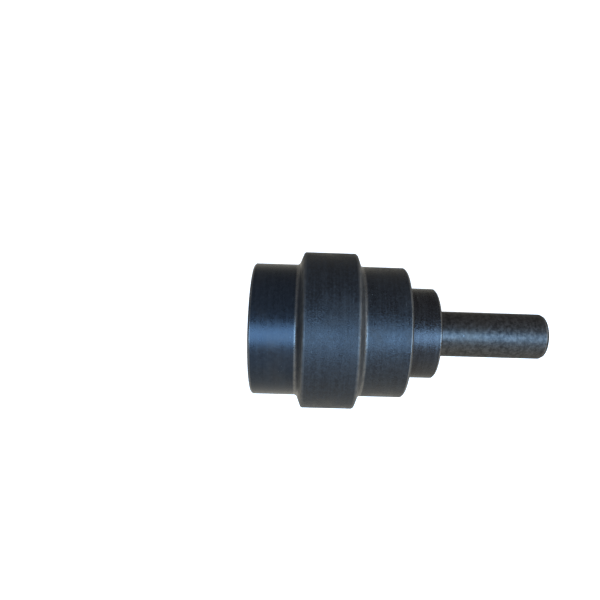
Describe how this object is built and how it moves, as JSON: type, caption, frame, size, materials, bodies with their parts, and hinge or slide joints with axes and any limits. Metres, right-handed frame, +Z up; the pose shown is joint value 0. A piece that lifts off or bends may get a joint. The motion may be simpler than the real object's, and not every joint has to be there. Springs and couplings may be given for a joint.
{
  "type": "track carrier roller",
  "caption": "Single-ended carrier roller for a mini excavator's track: a flanged steel shell on ball bearings, on a cantilevered spindle with a face seal and an end cover.",
  "frame": {"origin": "on the roller's axis, in the plane of the seal collar's outer face, where the spindle leaves the collar", "axes": "+Y along the axis of rotation towards the spindle's free end, +Z up, +X across"},
  "size_m": [0.1026, 0.1919, 0.1026],
  "materials": {
    "shell_black": "blue-black oxide over turned steel, semi-gloss, bare bright edges",
    "spindle_black": "blue-black oxide over ground steel, patchy brownish grey",
    "collar_black": "blue-black oxide with fine turning lines",
    "cover_black": "blue-black oxide with turning rings",
    "ball_steel": "polished bearing steel",
    "race_steel": "ground bearing steel",
    "cage_polyamide": "glass-filled polyamide",
    "seal_iron": "hard iron with a lapped face",
    "nitrile_rubber": "matt nitrile rubber",
    "spacer_steel": "turned steel tube",
    "spring_steel": "phosphated spring steel",
    "nut_steel": "turned steel",
    "plug_steel": "zinc plated steel",
    "washer_copper": "soft annealed copper"
  },
  "bodies": {
    "spindle": {"spindle": "spindle_black", "seal_collar": "collar_black", "collar_o_ring": "nitrile_rubber", "fixed_seal_ring": "seal_iron", "fixed_seal_toric": "nitrile_rubber", "inboard_bearing_inner_race": "race_steel", "outboard_bearing_inner_race": "race_steel", "inner_spacer": "spacer_steel", "lock_washer": "spring_steel", "lock_nut": "nut_steel"},
    "roller": {"roller_shell": "shell_black", "rotating_seal_ring": "seal_iron", "rotating_seal_toric": "nitrile_rubber", "inboard_bearing_outer_race": "race_steel", "outboard_bearing_outer_race": "race_steel", "outer_spacer": "spacer_steel", "bearing_circlip": "spring_steel", "end_cover": "cover_black", "cover_o_ring": "nitrile_rubber", "cover_circlip": "spring_steel", "oil_plug": "plug_steel", "plug_washer": "washer_copper"},
    "inboard_cage": {"inboard_bearing_cage": "cage_polyamide", "inboard_ball_1": "ball_steel", "inboard_ball_2": "ball_steel", "inboard_ball_3": "ball_steel", "inboard_ball_4": "ball_steel", "inboard_ball_5": "ball_steel", "inboard_ball_6": "ball_steel", "inboard_ball_7": "ball_steel", "inboard_ball_8": "ball_steel", "inboard_ball_9": "ball_steel"},
    "outboard_cage": {"outboard_bearing_cage": "cage_polyamide", "outboard_ball_1": "ball_steel", "outboard_ball_2": "ball_steel", "outboard_ball_3": "ball_steel", "outboard_ball_4": "ball_steel", "outboard_ball_5": "ball_steel", "outboard_ball_6": "ball_steel", "outboard_ball_7": "ball_steel"}
  },
  "joints": [
    {"name": "shell_spin", "type": "hinge", "parent": "spindle", "child": "roller", "pos_m": [0, 0, 0], "axis": [0, 1, 0], "continuous": true},
    {"name": "inboard_cage_spin", "type": "hinge", "parent": "spindle", "child": "inboard_cage", "pos_m": [0, 0, 0], "axis": [0, 1, 0], "continuous": true},
    {"name": "outboard_cage_spin", "type": "hinge", "parent": "spindle", "child": "outboard_cage", "pos_m": [0, 0, 0], "axis": [0, 1, 0], "continuous": true}
  ],
  "couplings": [
    {"joint": "inboard_cage_spin", "follows": "shell_spin", "ratio": 0.60353},
    {"joint": "outboard_cage_spin", "follows": "shell_spin", "ratio": 0.63218}
  ]
}
